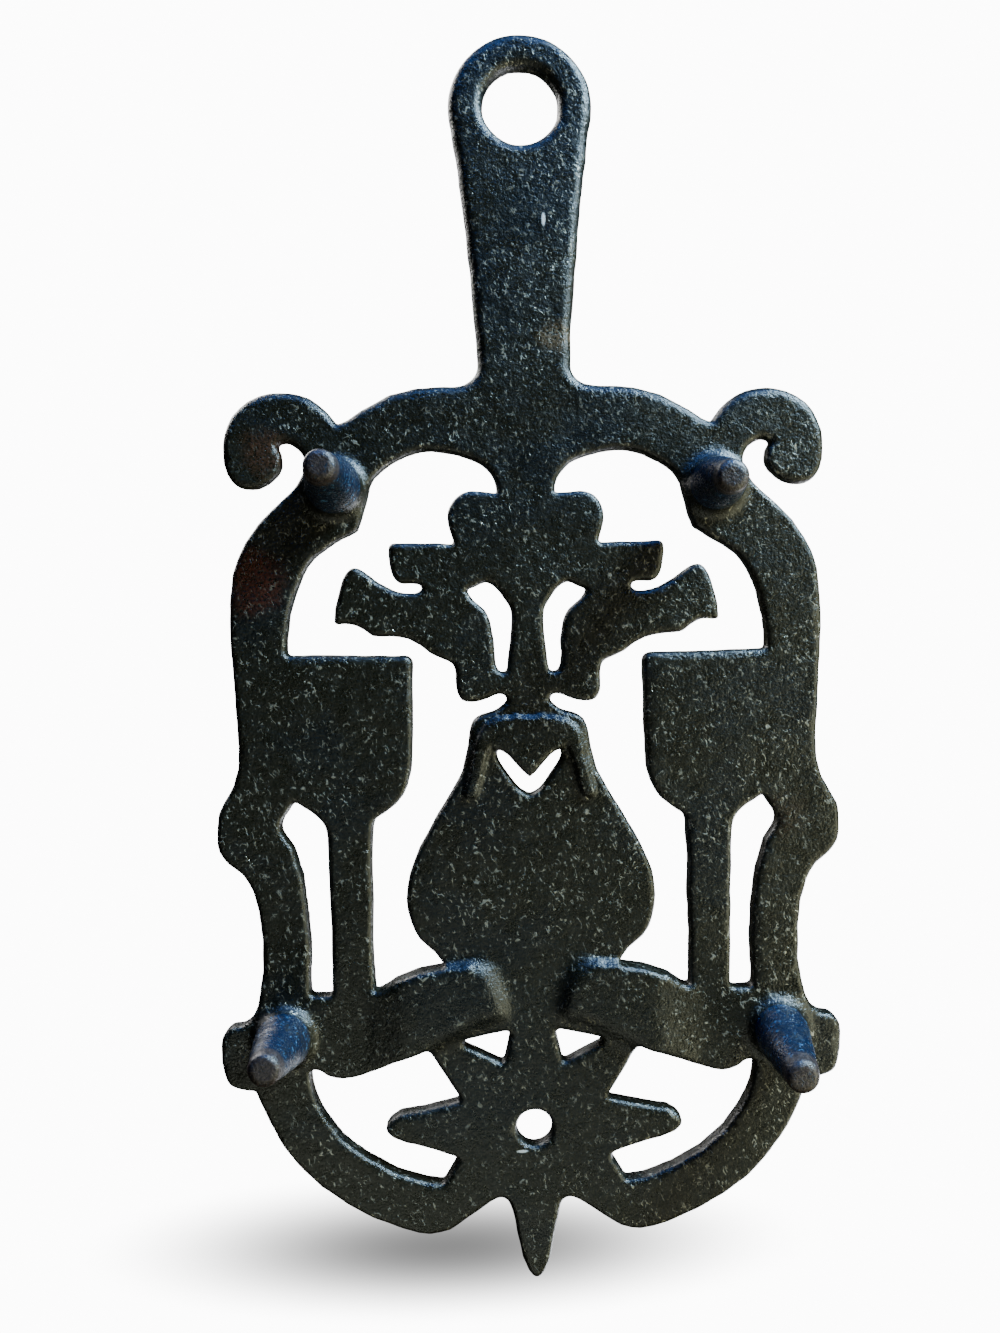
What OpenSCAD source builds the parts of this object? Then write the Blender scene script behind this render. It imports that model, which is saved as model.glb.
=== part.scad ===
// Cast-iron trivet: a flat openwork plate with a hanging handle, standing on four cast feet.
// Millimetres. +Z up, feet on Z = 0, handle toward +Y, origin at the middle of the footprint.
// The real thing is one casting. Each node is one named region of it, and neighbours meet face to face.

/* [Overall] */
// Length over everything, from the bottom point of the star to the top of the handle
overall_length = 228.6; // [190:0.1:275]
// Width over the knees of the two hind legs
overall_width = 114.3; // [95:0.1:138]
// Thickness of the openwork plate
plate_thickness = 4; // [3:0.1:8]

/* [Handle] */
// Length of the handle above the yoke
handle_length = 64.3; // [52:0.1:78]
// Outside diameter of the round eye at the handle's end
eye_diameter = 26.2; // [22:0.1:32]
// Diameter of the hole that the trivet hangs by
hanging_hole_diameter = 14.4; // [8:0.1:17]
// Width of the handle where it runs into the yoke
handle_root_width = 16.9; // [13:0.1:19]
// Width of the handle halfway up
handle_middle_width = 20.4; // [16:0.1:22]

/* [Feet] */
// Clear height under the plate
foot_height = 22; // [14:0.5:30]
// Foot diameter where it leaves the plate
foot_base_diameter = 10; // [8:0.1:10.8]
// Foot diameter just above its worn end
foot_tip_diameter = 4.8; // [4:0.1:7.5]
// Diameter of the flat worn end that stands on the table
foot_rest_diameter = 3.4; // [2.5:0.1:3.9]
// Height of the bevel around the worn end
foot_bevel_height = 0.9; // [0.4:0.1:2]

/* [Relief under the plate] */
// How far the toes of the two boots stand out below the plate
boot_relief = 1.8; // [0.5:0.1:3]
// How far the collar and its lapels stand out below the plate
collar_relief = 0.9; // [0.3:0.1:2]

/* [Star] */
// Diameter of the hole in the middle of the star
star_hole_diameter = 6.8; // [4:0.1:9]

/* [Smoothness] */
// Largest turn of an outline at one of its vertices, in degrees
outline_turn = 14; // [8:1:24]

/* [Hidden] */
// The size that the outlines below are written for.
drawn_width = 114.3;
drawn_body_length = 164.3;
drawn_low_end = -114.3;

stretch_x = overall_width / drawn_width;
stretch_y = (overall_length - handle_length) / drawn_body_length;
low_end = -overall_length / 2;
high_end = overall_length / 2;

plate_low = foot_height;
plate_high = foot_height + plate_thickness;

eye_radius = eye_diameter / 2;
eye_y = high_end - eye_radius;
// How far below its middle the eye hands over to the straight sides of the handle, in degrees.
eye_tangent = 7;

// Where the handle stops and the yoke starts, as drawn.
handle_root_y = 54;

iron = [0.13, 0.13, 0.12];
iron_light = [0.2, 0.2, 0.18];
iron_worn = [0.36, 0.33, 0.29];

// ---- Outlines ----
// A point [x, y] lies on a smooth curve. A point [x, y, r] is a corner with its tip rounded to radius r.

function unit(v) = v / max(norm(v), 0.000001);
function point_at(path, i) = path[(i + len(path)) % len(path)];
function spot(path, i) = let (p = point_at(path, i)) [p[0], p[1]];
function is_corner(path, i) = len(point_at(path, i)) > 2;

// The way a curve runs through a smooth point: both chords, the nearer one counting more.
function run_through(path, i) =
    let (back = spot(path, i) - spot(path, i - 1), on = spot(path, i + 1) - spot(path, i))
    unit(unit(back) * norm(on) + unit(on) * norm(back));
// The way a curve meets a corner: the other end's way, mirrored in the chord.
function mirrored_way(chord, way) = 2 * (chord * way) * chord - way;

function way_out(path, i) =
    let (chord = unit(spot(path, i + 1) - spot(path, i)))
    !is_corner(path, i) ? run_through(path, i)
    : is_corner(path, i + 1) ? chord
    : mirrored_way(chord, run_through(path, i + 1));
function way_in(path, i) =
    let (chord = unit(spot(path, i + 1) - spot(path, i)))
    !is_corner(path, i + 1) ? run_through(path, i + 1)
    : is_corner(path, i) ? chord
    : mirrored_way(chord, run_through(path, i));

function between(a, b) = acos(max(-1, min(1, a * b)));

// One stretch of the curve, from point i up to but not including the next one.
function stretch(path, i) =
    let (
        a = spot(path, i),
        b = spot(path, i + 1),
        span = norm(b - a),
        leave = way_out(path, i) * span,
        arrive = way_in(path, i) * span,
        turn = between(unit(leave), unit(b - a)) + between(unit(b - a), unit(arrive)),
        steps = max(1, ceil(turn / outline_turn))
    )
    [for (k = [0 : steps - 1])
        let (t = k / steps)
        a * (1 + 2 * t) * pow(1 - t, 2) + leave * t * pow(1 - t, 2)
        + b * t * t * (3 - 2 * t) - arrive * t * t * (1 - t)];

// A corner's rounded tip. Its radius is limited by the lines on both sides of it.
function rounded_tip(before, tip, after, r) =
    let (
        u = unit(before - tip),
        v = unit(after - tip),
        half = between(u, v) / 2,
        cut = min(r / tan(half), 0.45 * norm(before - tip), 0.45 * norm(after - tip)),
        radius = cut * tan(half),
        centre = tip + unit(u + v) * radius / sin(half),
        first = tip + u * cut - centre,
        last = tip + v * cut - centre,
        sweep = 180 - 2 * half,
        sign = first[0] * last[1] - first[1] * last[0] > 0 ? 1 : -1,
        steps = max(2, ceil(sweep / (2 * outline_turn)))
    )
    [for (k = [0 : steps])
        let (a = sign * sweep * k / steps)
        centre + [first[0] * cos(a) - first[1] * sin(a), first[0] * sin(a) + first[1] * cos(a)]];

function outline(path) =
    let (n = len(path), runs = [for (i = [0 : n - 1]) stretch(path, i)])
    [for (i = [0 : n - 1])
        let (
            run = runs[i],
            before = runs[(i + n - 1) % n],
            after = len(run) > 1 ? run[1] : runs[(i + 1) % n][0],
            tip_radius = is_corner(path, i) ? path[i][2] : 0
        )
        each concat(
            tip_radius > 0 ? rounded_tip(before[len(before) - 1], run[0], after, tip_radius) : [run[0]],
            [for (k = [1 : 1 : len(run) - 1]) run[k]])];

// The other side of the drawing, in the opposite order.
function opposite(half) =
    [for (i = [len(half) - 1 : -1 : 0])
        len(half[i]) > 2 ? [-half[i][0], half[i][1], half[i][2]] : [-half[i][0], half[i][1]]];
function joined(half) =
    concat(half, opposite([for (p = half) if (abs(p[0]) > 0.001) p]));

// From the drawing to the size that is asked for.
function placed(p) = [p[0] * stretch_x, low_end + (p[1] - drawn_low_end) * stretch_y];
function placed_all(path) = [for (p = path) placed(p)];

// The right half of the outer edge, from the handle's root down to the bottom point of the star.
edge_half = [
    // fillet at the handle and the top of the yoke
    [handle_root_width / 2 / stretch_x, handle_root_y, 0], [8.9, 51.7], [11.2, 49.8], [15, 49.5], [20, 49.2],
    [25, 47.9], [30, 45.2], [32.8, 43.4], [34.5, 42.6, 0.6],
    // scroll, out and around its hook
    [36.6, 45.2], [39.6, 47.6], [43, 48.6], [46.6, 48.6], [50.6, 47.2], [53.5, 44.4], [54.9, 41],
    [55.1, 37.5], [54.5, 34], [52.7, 31.7], [50, 31.3], [47, 32.5], [44.9, 35], [45, 37.4],
    [45.6, 39], [44.3, 39.8], [42, 38.9], [40.6, 37.3], [40.1, 35.2],
    // flank
    [41, 32.8], [43.3, 29.9], [46.5, 27.1], [49.2, 24.3], [51.4, 21], [53.6, 15.3], [54.3, 10],
    [54.3, 4], [53.4, -9], [52.9, -16], [53.1, -20], [54, -23.2],
    // knee and hind leg
    [55.6, -26], [56.8, -28.3], [57.15, -31.5], [56.7, -35.2], [55.2, -37.3], [52.7, -39.3], [50.9, -42.2],
    [49.8, -45.8], [49.2, -51], [49.2, -57], [49.8, -61.2], [51.3, -65.6],
    // heel
    [53, -67], [55.2, -67.4], [56.6, -69], [56.9, -72], [56.5, -75.5], [55.4, -77.7], [53.6, -78.4],
    [50.8, -78.8, 0.8],
    // rim
    [49.1, -82.8], [46.8, -87.6], [43.6, -92.2], [39.2, -96.8], [34.5, -100.1], [29.5, -102.7],
    // slanting points of the star
    [24, -104.9], [19.3, -105.9], [15.8, -105.2], [12.2, -102.9], [8.4, -100.3], [6.2, -99.5], [4.8, -100.2],
    // bottom point of the star
    [4.1, -102.2], [2.9, -108.2], [1.5, -113], [0, -114.3]
];

// The big opening on the right: under the yoke, around head and arm, and down between leg and skirt.
side_window = [
    // neck of the head, then the underside of the yoke
    [5.2, 29.6, 0.7], [5.3, 31.6], [6.3, 33.7], [8.1, 35.5], [10.8, 36.8], [14, 37.6], [18.5, 37.9],
    [22, 37.1], [25, 35.6], [27.3, 33.8], [28.9, 31.5], [29.8, 28.4], [30.4, 25.5],
    // inside of the flank
    [31.2, 23.4, 1.2], [36.5, 20.4], [39.2, 18.4], [41.2, 15.6], [42.8, 11.6], [43.9, 7], [44.4, 0.4, 0.9],
    // top and inner side of the block
    [21.4, 0, 1.4], [21.5, -10], [21.7, -18], [22.5, -23.6], [24.5, -26.8], [27, -28.7],
    [28.6, -29.9], [29.1, -32.5],
    // inner side of the front leg, a little wavy
    [29.4, -38], [29.1, -45], [29.4, -52], [29, -61.5, 0.8],
    // instep and toe of the boot
    [27.6, -61], [25, -59.3], [21, -57.9], [15.6, -57, 0.6],
    // skirt
    [17.7, -54.2], [20.4, -51.9], [22.1, -48.6], [22.8, -44.5], [22.2, -40], [20.4, -35.3], [17.5, -30.2],
    [14.4, -25.3], [12.3, -21.2], [11.3, -17],
    // shoulder of the collar
    [10.8, -13.8], [10.1, -12], [8.6, -11], [6.2, -10.3], [4.7, -9.3], [3.9, -8.2], [4.3, -7.3], [5.5, -7],
    // lower end of the arm
    [7.5, -7.8], [10, -8.4], [12.2, -8.1], [13.1, -6.5], [13.2, -3.2], [13.7, -1.4], [15.5, -0.4], [17.8, 0.7],
    [19.7, 2.2], [22, 3.4], [25, 3.9], [28.4, 4.1], [29.9, 5.2], [31.4, 6],
    // flare of the arm
    [35.3, 6.2, 1], [35.1, 9], [34, 13.2], [33, 15.5], [31.8, 16.3], [30.4, 15.8], [27.5, 13.7],
    [24.5, 12.1], [22, 11.5], [20, 11.6], [19.1, 12.5], [19.6, 13.4], [21, 13.7],
    // square end of the arm
    [23.6, 13.8], [24.5, 14.9], [25, 17], [25.1, 20.7, 1], [13.1, 20.5, 0.6],
    // side and top of the head
    [13.6, 22.3], [14.2, 24.5], [14.2, 26.5], [13.3, 28.4], [11.8, 29.6], [10, 30.1], [8, 29.9]
];

// The slot between the front leg and the hind leg on the right.
leg_slot = [
    [43.2, -26.4], [41.3, -27.3], [39, -29], [37.6, -30.8], [37.1, -33], [36.9, -40.5], [36.6, -50.5],
    [36.5, -62, 1], [40.9, -62, 1], [40.7, -53], [41.1, -47], [42, -40], [43.6, -34.9],
    [45.6, -31.8], [45.8, -30.6], [44.2, -27.6]
];

// The slot beside the neck on the right.
neck_slot = [
    [7.7, 13.7], [9.5, 12.9], [11.3, 12.2, 0.5], [10, 10.2], [7.9, 8.4], [6.8, 6], [6.3, 2.5],
    [6.1, -1.8], [5.3, -3.1], [4.1, -3.1], [3.5, -1.6], [3.1, 2], [2.8, 6], [3, 8.7], [4, 10.4], [6, 12.9]
];

// The opening on the right between the boot, the star and the rim.
ring_window = [
    [19.3, -71.9, 0.9], [25.6, -74.1], [31.5, -76.4], [35, -77.1], [37.6, -76.5], [39.4, -75.3], [40.8, -75.4],
    [41, -77], [38.4, -84], [35.3, -88.2], [31.1, -91.7], [25.4, -94.8], [20, -96.6], [16.7, -97.1, 0.9],
    [13.6, -92, 1], [20.4, -89.8], [25.8, -88.1], [27.1, -86.6], [26.2, -85], [20.3, -83.4], [13.1, -81.7, 0.8]
];

// The small opening on the right between the boot, the stem and the star.
star_window = [[3.8, -68.6, 0.9], [14.4, -70.8, 0.8], [5.3, -75.3, 0.8]];

// The right half of the opening under the collar.
collar_gap_half = [
    [0, -22.2, 0], [1.3, -21.1], [3.1, -19], [4.8, -17.5], [5.8, -17.3], [6.1, -18.1], [5.3, -20.2],
    [3.7, -22.6], [1.9, -24.8], [0, -25.9, 0.8]
];

star_y = -86.9;

module edge() {
    polygon(placed_all(outline(joined(edge_half))));
}

module opening(path) {
    polygon(placed_all(outline(path)));
    polygon(placed_all(outline(opposite(path))));
}

module body_flat() {
    difference() {
        edge();
        opening(side_window);
        opening(leg_slot);
        opening(neck_slot);
        opening(ring_window);
        opening(star_window);
        polygon(placed_all(outline(joined(collar_gap_half))));
        translate(placed([0, star_y])) circle(d = star_hole_diameter, $fn = 96);
    }
}

// ---- Where one region ends and the next begins ----
// Each line lies across the metal. Between its ends it may run anywhere through an opening.

// Far enough outside the drawing on every side.
outside = 80;

notch = [34.5, 42.6];
yoke_end = [33, 37.5];
yoke_tip = [28, 32.2];
scroll_root = [40.1, 35.5];
hook_gap = [[43, 34.2], [46, 30.3]];
head_top_y = 31.4;
block_x = 43.3;
block_top_y = 1.4;
knee_y = -24;
front_leg_top_y = -30.4;
leg_end_y = -61.2;
arm_root_high = [13.1, 20.5];
arm_root_low = [11.3, 12.2];
neck_top = [4.3, 10.6];
arm_foot = [4.7, -3.2];
arm_foot_low = [4.7, -7.4];
neck_low = [4.2, -8.7];
toe = [[15.8, -56.6], [11, -56.3], [8.4, -57], [6.9, -59.2], [5.7, -63], [5.1, -66.4]];
sole = [[9.5, -67.2], [14, -69.4], [19.4, -72.2]];
rim_start = [[39.6, -77.4], [41, -76.6], [49.6, -80.4], [53, -84]];
rim_end = [[16.9, -96.6], [21.6, -108]];
star_shoulder = [[14, -70.7], [9, -71.2], [5.4, -75.2]];
collar_hem = [[14.5, -25], [12.3, -26], [9.7, -26], [7.9, -18.7], [6.9, -16.3], [5.9, -17.8],
    [3.6, -20.8], [0, -24]];

yoke_cell = joined([[notch[0], outside], notch, yoke_end, yoke_tip, [20, head_top_y], [0, head_top_y]]);
scroll_cell = [[notch[0], outside], notch, yoke_end, scroll_root, hook_gap[0], hook_gap[1],
    [outside, hook_gap[1][1]], [outside, outside]];
flank_cell = [yoke_tip, yoke_end, scroll_root, hook_gap[0], hook_gap[1], [outside, hook_gap[1][1]],
    [outside, knee_y], [block_x, knee_y], [block_x, block_top_y], [38, 8], [36.5, 16], [29, 20], [27, 27]];
block_cell = [[20.6, block_top_y], [block_x, block_top_y], [block_x, front_leg_top_y],
    [20.6, front_leg_top_y]];
front_leg_cell = [[26, front_leg_top_y], [40, front_leg_top_y], [38.6, -50], [38.6, leg_end_y],
    [28.4, leg_end_y], [26, -50]];
hind_leg_cell = [[block_x, knee_y], [outside, knee_y], [outside, leg_end_y], [38.6, leg_end_y], [38.6, -50],
    [40, -36], [block_x, front_leg_top_y]];
boot_cell = concat([[26, -57], [20, -56.4]], toe, sole,
    [[24, -76], [33, -80], rim_start[0], rim_start[1], rim_start[2], rim_start[3], [outside, -84],
    [outside, leg_end_y], [28.4, leg_end_y]]);
rim_cell = [[33, -82], rim_start[0], rim_start[1], rim_start[2], rim_start[3], [outside, -84],
    [outside, -outside * 1.5], [rim_end[1][0], -outside * 1.5], rim_end[1], rim_end[0], [19, -94], [30, -88]];
star_cell = joined([[0, star_shoulder[2][1]], star_shoulder[2], star_shoulder[1], star_shoulder[0], sole[1],
    sole[2], [24, -76], [33, -82], [30, -88], [19, -94], rim_end[0], rim_end[1],
    [rim_end[1][0], -outside * 1.5]]);
stem_cell = joined([[0, toe[2][1]], toe[2], toe[3], toe[4], toe[5], sole[0], sole[1], star_shoulder[0],
    star_shoulder[1], star_shoulder[2], [0, star_shoulder[2][1]]]);
skirt_cell = joined([[0, toe[2][1]], toe[2], toe[1], toe[0], [20, -56.4], [26, -50], [24, -30.6],
    collar_hem[0], collar_hem[1], collar_hem[2], collar_hem[3], collar_hem[4], collar_hem[5], collar_hem[6],
    collar_hem[7]]);
collar_cell = joined([[0, neck_low[1]], neck_low, [6, -8.9], [14, -10.6], collar_hem[0], collar_hem[1],
    collar_hem[2], collar_hem[3], collar_hem[4], collar_hem[5], collar_hem[6], collar_hem[7]]);
neck_cell = joined([[0, neck_top[1]], neck_top, [4.5, 8], [4.5, -2.4], arm_foot, arm_foot_low, neck_low,
    [0, neck_low[1]]]);
arm_cell = [arm_root_high, arm_root_low, [10.2, 11.8], [5.6, 8], [4.5, -2.4], arm_foot, arm_foot_low,
    [6, -8.7], [14, -10.4], [19.6, -3], [20.4, 2.2], [26, 3], [38, 3.6], [38, 8], [36.5, 16], [29, 20],
    [27, 25], [14.6, 21.4]];
head_cell = joined([[0, head_top_y], [20, head_top_y], [27, 25], [14.6, 21.4], arm_root_high, arm_root_low,
    [10.2, 11.8], [6, 11.4], neck_top, [0, neck_top[1]]]);

module region(cell, relief = 0) {
    translate([0, 0, plate_low - relief])
        linear_extrude(plate_thickness + relief)
            intersection() {
                body_flat();
                polygon(placed_all(cell));
            }
}

// ---- What stands out below the plate ----
// Where the boot starts to rise from the plate, and where it has reached its full relief, from the middle.
boot_rise_start = 31 * stretch_x;
boot_rise_end = 23 * stretch_x;

// A boot seen from the side: level with the plate at the heel, rising under the instep.
module boot_side() {
    rotate([90, 0, 0])
        linear_extrude(2 * overall_length, center = true)
            polygon([[0, plate_high], [0, plate_low - boot_relief], [boot_rise_end, plate_low - boot_relief],
                [boot_rise_start, plate_low], [overall_width, plate_low], [overall_width, plate_high]]);
}

module boot() {
    intersection() {
        region(boot_cell, boot_relief);
        boot_side();
    }
}

// The right half of the raised collar: across the chest, then down the lapel and back up its inner side.
shawl_half = [
    [0, -11.2, 0], [5, -11.4], [7.9, -12.4], [9.4, -14.6], [10.3, -18.7], [12.2, -25.9, 0.7],
    [9.8, -25.9, 0.7], [7.9, -18.7, 0.3], [6.9, -16.4, 0.3], [5.9, -17.8], [3.6, -20.8], [0, -24, 0]
];

module shawl() {
    translate([0, 0, plate_low - collar_relief])
        linear_extrude(collar_relief + plate_thickness / 2)
            difference() {
                intersection() {
                    polygon(placed_all(outline(joined(shawl_half))));
                    polygon(placed_all(collar_cell));
                }
                polygon(placed_all(outline(joined(collar_gap_half))));
            }
}

// ---- Handle ----
module eye_disc() {
    translate([0, eye_y]) circle(r = eye_radius, $fn = 144);
}

module hanging_eye() {
    color(iron)
        translate([0, 0, plate_low])
            linear_extrude(plate_thickness)
                difference() {
                    eye_disc();
                    translate([0, eye_y]) circle(d = hanging_hole_diameter, $fn = 120);
                }
}

// The sides start this far inside the eye's rim, so that each one crosses it once.
eye_bite = 0.15;

root = placed([0, handle_root_y])[1];
eye_low = eye_y - (eye_radius - eye_bite) * sin(eye_tangent);
handle_side = [
    [(eye_radius - eye_bite) * cos(eye_tangent), eye_low, 0],
    [handle_middle_width / 2, (eye_low + root) / 2 + 1],
    [handle_root_width / 2 + 0.25, root + (eye_low - root) * 0.13],
    [handle_root_width / 2, root, 0]
];

module handle() {
    color(iron_light)
        translate([0, 0, plate_low])
            linear_extrude(plate_thickness)
                difference() {
                    polygon(outline(joined(handle_side)));
                    eye_disc();
                }
}

// ---- Regions of the plate ----
module yoke() color(iron) region(yoke_cell);
module right_scroll() color(iron_light) region(scroll_cell);
module left_scroll() color(iron_light) region(opposite(scroll_cell));
module right_flank() color(iron) region(flank_cell);
module left_flank() color(iron) region(opposite(flank_cell));
module right_block() color(iron_light) region(block_cell);
module left_block() color(iron_light) region(opposite(block_cell));
module right_front_leg() color(iron) region(front_leg_cell);
module left_front_leg() color(iron) region(opposite(front_leg_cell));
module right_hind_leg() color(iron_light) region(hind_leg_cell);
module left_hind_leg() color(iron_light) region(opposite(hind_leg_cell));
module right_boot() color(iron_light) boot();
module left_boot() color(iron_light) mirror([1, 0, 0]) boot();
module head() color(iron_light) region(head_cell);
module right_arm() color(iron) region(arm_cell);
module left_arm() color(iron) region(opposite(arm_cell));
module neck() color(iron) region(neck_cell);
module collar() color(iron_light) {
    region(collar_cell);
    shawl();
}
module skirt() color(iron) region(skirt_cell);
module stem() color(iron) region(stem_cell);
module star() color(iron_light) region(star_cell);
module right_rim() color(iron) region(rim_cell);
module left_rim() color(iron) region(opposite(rim_cell));

// ---- Feet ----
upper_foot_place = [34.9, 31];
lower_foot_place = [45.3, -69.2];

module foot(place, side) {
    at = placed(place);
    color(iron_worn)
        translate([side * at[0], at[1], 0]) {
            cylinder(h = foot_bevel_height, d1 = foot_rest_diameter, d2 = foot_tip_diameter);
            translate([0, 0, foot_bevel_height])
                cylinder(h = foot_height - foot_bevel_height, d1 = foot_tip_diameter, d2 = foot_base_diameter);
        }
}

module right_upper_foot() foot(upper_foot_place, 1);
module left_upper_foot() foot(upper_foot_place, -1);
module right_lower_foot() foot(lower_foot_place, 1);
module left_lower_foot() foot(lower_foot_place, -1);

hanging_eye();
handle();
yoke();
right_scroll();
left_scroll();
right_flank();
left_flank();
right_block();
left_block();
right_front_leg();
left_front_leg();
right_hind_leg();
left_hind_leg();
right_boot();
left_boot();
head();
right_arm();
left_arm();
neck();
collar();
skirt();
stem();
star();
right_rim();
left_rim();
right_upper_foot();
left_upper_foot();
right_lower_foot();
left_lower_foot();
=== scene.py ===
# %% [markdown]
# # A cast-iron trivet
#
# A trivet is a pot stand. This one is a single iron sand casting: a flat openwork plate with a hanging
# handle, on four stubby feet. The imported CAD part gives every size. It has square edges, as a drawing has,
# so this script pours the casting again: with rounded arrises, soft steps, filleted feet and a sandy skin.
#
# The lesson goes in this order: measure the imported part, turn it into one solid field, skin that field with
# polygons, share the skin out among the named regions, give each region its iron, and light it.

import bpy
import numpy as np
import openvdb
from math import cos, radians, sin, tan
from mathutils import Matrix, Vector
from mathutils.bvhtree import BVHTree
from mathutils.kdtree import KDTree


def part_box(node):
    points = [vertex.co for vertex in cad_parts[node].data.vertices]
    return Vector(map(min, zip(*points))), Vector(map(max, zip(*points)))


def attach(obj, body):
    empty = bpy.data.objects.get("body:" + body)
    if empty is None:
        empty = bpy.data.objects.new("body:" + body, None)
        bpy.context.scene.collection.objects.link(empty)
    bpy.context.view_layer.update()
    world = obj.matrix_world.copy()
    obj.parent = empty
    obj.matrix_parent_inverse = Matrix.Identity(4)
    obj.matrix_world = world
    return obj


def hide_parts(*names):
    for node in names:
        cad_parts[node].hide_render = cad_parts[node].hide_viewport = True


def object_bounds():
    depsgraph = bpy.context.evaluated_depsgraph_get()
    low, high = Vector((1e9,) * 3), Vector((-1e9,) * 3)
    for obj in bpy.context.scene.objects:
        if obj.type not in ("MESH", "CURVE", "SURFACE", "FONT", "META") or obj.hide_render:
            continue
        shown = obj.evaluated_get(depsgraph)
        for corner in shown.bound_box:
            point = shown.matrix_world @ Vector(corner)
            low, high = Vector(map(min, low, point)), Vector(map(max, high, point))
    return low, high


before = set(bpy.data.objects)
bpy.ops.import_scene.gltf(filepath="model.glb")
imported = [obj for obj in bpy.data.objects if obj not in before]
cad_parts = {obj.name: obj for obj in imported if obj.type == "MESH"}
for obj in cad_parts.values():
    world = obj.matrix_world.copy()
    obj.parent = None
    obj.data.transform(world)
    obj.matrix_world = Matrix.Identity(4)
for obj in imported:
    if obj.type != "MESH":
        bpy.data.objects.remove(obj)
cad_low, cad_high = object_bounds()
print("CAD box, mm:", [round(v * 1000, 1) for v in (*cad_low, *cad_high)])

# %% [markdown]
# ## Reading the plan
#
# Every region of the plate is an upright prism, so its top face is its plan. The plan could be typed in
# again as points, but then a changed size in the CAD would leave the looks behind. So it is read from the
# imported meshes. Lengths are in millimetres here, because iron founders think in them.

# %% Node names and levels
MM = 0.001
feet = sorted(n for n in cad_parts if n.endswith("_foot"))
plate = sorted(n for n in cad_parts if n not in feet)
plate_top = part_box("skirt")[1].z / MM
plate_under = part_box("skirt")[0].z / MM
print(len(plate), "plate regions and", len(feet), "feet")
print("plate from", round(plate_under, 2), "to", round(plate_top, 2), "mm")


# %% One node as points and triangles
def solid(name):
    """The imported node's corners (n, 3) in millimetres, and its triangles as corner numbers."""
    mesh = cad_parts[name].data
    mesh.calc_loop_triangles()
    corners = np.empty(len(mesh.vertices) * 3)
    mesh.vertices.foreach_get("co", corners)
    triangles = np.empty(len(mesh.loop_triangles) * 3, int)
    mesh.loop_triangles.foreach_get("vertices", triangles)
    return corners.reshape(-1, 3) / MM, triangles.reshape(-1, 3)


def plan(name):
    """The triangles (n, 3, 2) of a plate region's top face, seen from above."""
    corners, triangles = solid(name)
    each = corners[triangles]
    return each[(each[:, :, 2] > plate_top - 0.01).all(1)][:, :, :2]


# %% [markdown]
# Two search trees answer the questions that follow. The first holds all plans laid flat, so the nearest
# triangle to a point names the region there. The second holds the solids, so a ray sent up from below finds
# how high the underside lies.

# %% Search trees
def flat_tree(plans):
    """A tree of flat triangles at height zero, and the region number of each triangle."""
    corners, owner = [], []
    for number, name in enumerate(plate):
        for triangle in plans[name]:
            corners.extend((x, y, 0) for x, y in triangle)
            owner.append(number)
    return BVHTree.FromPolygons(corners, np.arange(len(corners)).reshape(-1, 3).tolist()), np.array(owner)


def solid_tree(names):
    corners, triangles = [], []
    for name in names:
        points, each = solid(name)
        triangles.extend((each + len(corners)).tolist())
        corners.extend(points.tolist())
    return BVHTree.FromPolygons(corners, triangles)


plans = {name: plan(name) for name in plate}
region_tree, region_of = flat_tree(plans)
under_tree = solid_tree(plate)
print(len(region_of), "plan triangles")

# %% [markdown]
# ## The outline
#
# A region's rim is made of the triangle edges that no other triangle of it shares. Part of that rim is the
# casting's real edge, and part is only where one region hands over to the next. A point set just outside
# tells them apart: on a hand-over it falls on the neighbour's plan.

# %% Rims of the regions
def rim(triangles):
    """Edges (n, 2, 2) that only one triangle has, each with the metal on its left."""
    spots, ids = np.unique(np.round(triangles.reshape(-1, 2), 3), axis=0, return_inverse=True)
    ids = ids.reshape(-1, 3)
    sides = np.concatenate([ids[:, [0, 1]], ids[:, [1, 2]], ids[:, [2, 0]]]).tolist()
    known = {tuple(side) for side in sides}
    return spots[[side for side in sides if (side[1], side[0]) not in known]]


def on_plan(x, y):
    return under_tree.ray_cast(Vector((x, y, -5)), Vector((0, 0, 1)))[0] is not None


rims = {name: rim(plans[name]) for name in plate}
print(sum(len(r) for r in rims.values()), "rim edges")

# %% Real edges and hand-overs
edge_step = 0.08   # mm between the points tried along an edge
aside = 0.03       # mm that each is moved off the metal, to see whether a neighbour is there
outline, seams = [], []
for name in plate:
    for start, end in rims[name]:
        along = end - start
        length = np.hypot(*along)
        if length < 1e-6:
            continue
        away = np.array([along[1], -along[0]]) / length * aside
        tries = max(1, round(length / edge_step))
        spots = (np.arange(tries) + 0.5) / tries
        free = [not on_plan(*(start + along * t + away)) for t in spots]
        outline.extend((*(start + along * t), *start, *end) for t, f in zip(spots, free) if f)
        if not any(free):
            seams.append((*start, *end))
outline, seams = np.array(outline), np.array(seams)
seams = seams[(seams[:, 0] < seams[:, 2]) | ((seams[:, 0] == seams[:, 2]) & (seams[:, 1] < seams[:, 3]))]
print(len(outline), "points on real edges,", len(seams), "hand-over edges")

# %% [markdown]
# ## A grid of heights
#
# The pattern is drawn on a square grid of cells, as a carver would mark a board. For each cell there is a
# distance to the nearest real edge, which is negative inside the metal, and the height of the underside.
# The origin sits off the round numbers, so that no cell falls exactly on a line of the drawing.

# %% The grid
cell = 0.3
low = np.array(cad_low) / MM
high = np.array(cad_high) / MM
origin = low - (1.137, 1.211, 0.613)
count = np.ceil((high + 1.0 - origin) / cell).astype(int)
xs, ys, zs = (origin[k] + cell * np.arange(count[k]) for k in range(3))
grid_x, grid_y = np.meshgrid(xs, ys, indexing="ij")
print("grid", count, "cells of", cell, "mm")

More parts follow.
